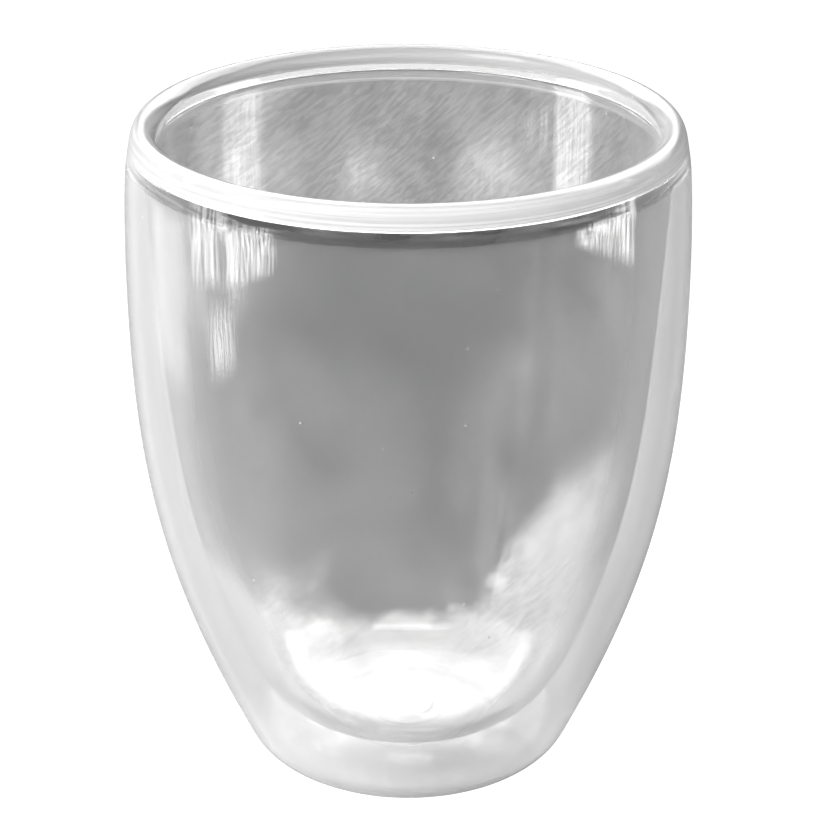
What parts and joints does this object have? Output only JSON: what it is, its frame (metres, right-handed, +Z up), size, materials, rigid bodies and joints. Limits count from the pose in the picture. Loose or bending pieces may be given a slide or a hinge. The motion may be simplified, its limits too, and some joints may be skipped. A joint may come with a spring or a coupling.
{
  "type": "double walled glass cup",
  "caption": "Clear double walled glass cup: a rounded bowl hangs inside a tapered jacket, fused at the rim, with an air gap between.",
  "frame": {"origin": "centre of the foot on the surface that the cup stands on", "axes": "+Z up along the cup's axis of revolution; the cup is the same all round, so +X and +Y are free"},
  "size_m": [0.086, 0.086, 0.105],
  "materials": {
    "jacket_glass": "clear polished",
    "bowl_glass": "clear polished",
    "rim_glass": "clear fire polished",
    "plug_silicone": "translucent matte silicone"
  },
  "bodies": {
    "root": {"outer_jacket": "jacket_glass", "inner_bowl": "bowl_glass", "fused_rim": "rim_glass", "vent_plug": "plug_silicone"}
  },
  "joints": []
}
